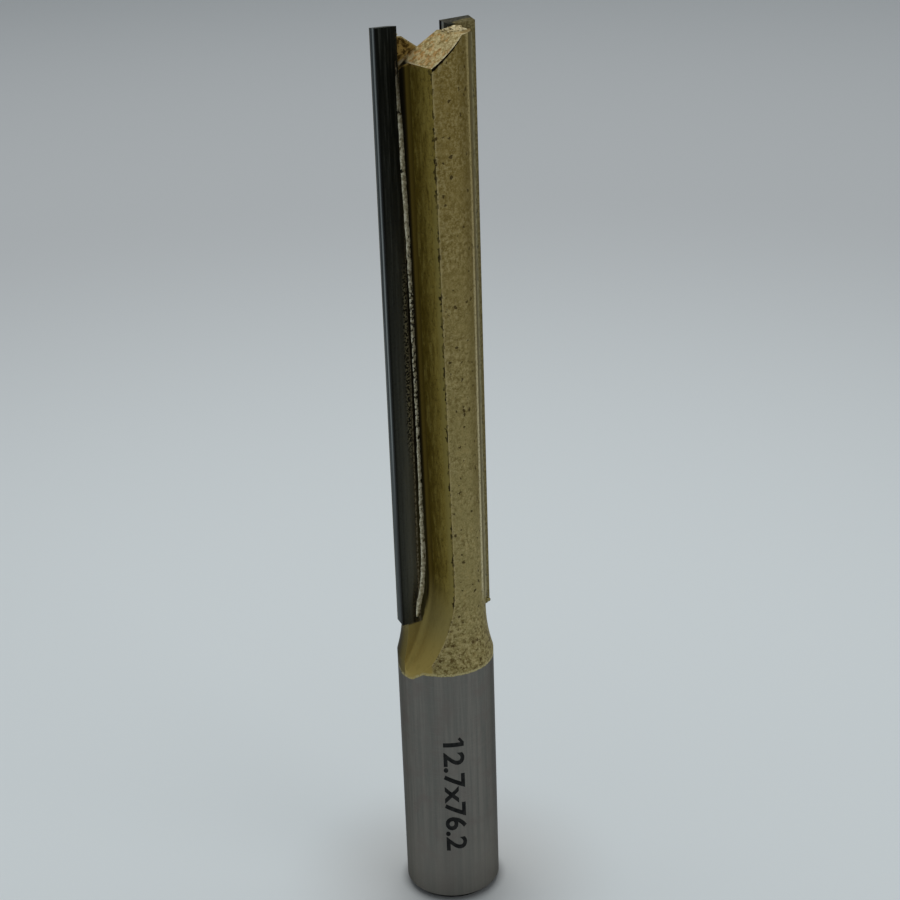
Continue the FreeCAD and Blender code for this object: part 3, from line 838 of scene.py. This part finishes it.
mark_finish, tree, shader, in_mm = new_finish("etched_mark")
skin = use_effect(tree, pitted_skin, {"Place": in_mm, "Pit Scale": 4.0, "Pit Amount": 0.5,
                                      "Grain Scale": 14.0})
etched = lay_over(tree, fade(tree, skin["Mottle"], 0.40, 0.62), srgb(9, 9, 9),
                  srgb(32, 32, 31))
tree.links.new(etched, shader.inputs["Base Color"])
tree.links.new(reckon(tree, "MULTIPLY_ADD", skin["Grain"], 0.3, 0.5), shader.inputs["Roughness"])
shader.inputs["Metallic"].default_value = 0.1
shader.inputs["Specular IOR Level"].default_value = 0.2
size_mark.data.materials.clear()
size_mark.data.materials.append(mark_finish)
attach(size_mark, "root")


# ---------------------------------------------------------------------------
# Stage: a plain pale table that grows greyer with distance, a soft ceiling light
# and a weak light in front.
# ---------------------------------------------------------------------------
TABLE_RADIUS = 3.0

deselect_everything()
bpy.ops.mesh.primitive_circle_add(vertices=96, radius=TABLE_RADIUS, fill_type="NGON",
                                  location=(0.0, 0.0, 0.0))
table_top = bpy.context.object
table_top.name = "table_top"
table_finish, tree, shader, in_mm = new_finish("pale_table")
shader.inputs["Roughness"].default_value = 0.8
shader.inputs["Specular IOR Level"].default_value = 0.2
from_bit = coat(tree, "VectorMath", {0: in_mm}, operation="LENGTH").outputs["Value"]
table_colour = lay_over(tree, fade(tree, from_bit, 60.0, 370.0),
                        srgb(221, 228, 231), srgb(187, 191, 194))
# Painted shadow: the table is painted darker round the foot of the bit, and darkest in a narrow
# ring where it stands
table_colour = lay_over(tree, reckon(tree, "MULTIPLY", fade(tree, from_bit, 26.0, 6.0), 0.5),
                        table_colour, srgb(188, 186, 184))
table_colour = lay_over(tree, reckon(tree, "MULTIPLY", fade(tree, from_bit, 7.6, 5.8), 0.6),
                        table_colour, srgb(112, 112, 112))
tree.links.new(table_colour, shader.inputs["Base Color"])
table_top.data.materials.append(table_finish)

room = bpy.data.worlds.new("room")
bpy.context.scene.world = room
room.use_nodes = True
room_tree = room.node_tree
room_tree.nodes.clear()
seen = coat(room_tree, "Background", {"Color": srgb(158, 166, 166), "Strength": 1.0})
lit = coat(room_tree, "Background", {"Color": (0.92, 0.97, 1.0, 1.0), "Strength": 0.38})
ray = coat(room_tree, "LightPath").outputs
shows = reckon(room_tree, "MAXIMUM", ray["Is Camera Ray"],
               reckon(room_tree, "MAXIMUM", ray["Is Glossy Ray"], ray["Is Transmission Ray"]))
either = coat(room_tree, "MixShader", {0: shows, 1: lit.outputs[0], 2: seen.outputs[0]})
coat(room_tree, "OutputWorld", {"Surface": either.outputs[0]})


def soft_light(name, place, aim, wide, power, tint):
    """A square soft light that faces the aim point."""
    lamp = bpy.data.lights.new(name, "AREA")
    lamp.shape = "SQUARE"
    lamp.size = wide
    lamp.energy = power
    lamp.color = tint
    stand = bpy.data.objects.new(name, lamp)
    bpy.context.scene.collection.objects.link(stand)
    stand.location = place
    stand.rotation_euler = (Vector(aim) - Vector(place)).to_track_quat("-Z", "Y").to_euler()


soft_light("ceiling_light", place=(0.15, 0.30, 0.80), aim=(0.0, 0.0, 0.03), wide=0.7, power=3.2,
           tint=(1.0, 0.99, 0.97))
soft_light("front_light", place=(0.25, -0.60, 0.35), aim=(0.0, 0.0, 0.05), wide=0.4, power=0.5,
           tint=(1.0, 0.98, 0.95))

bpy.context.scene.view_settings.view_transform = "Standard"
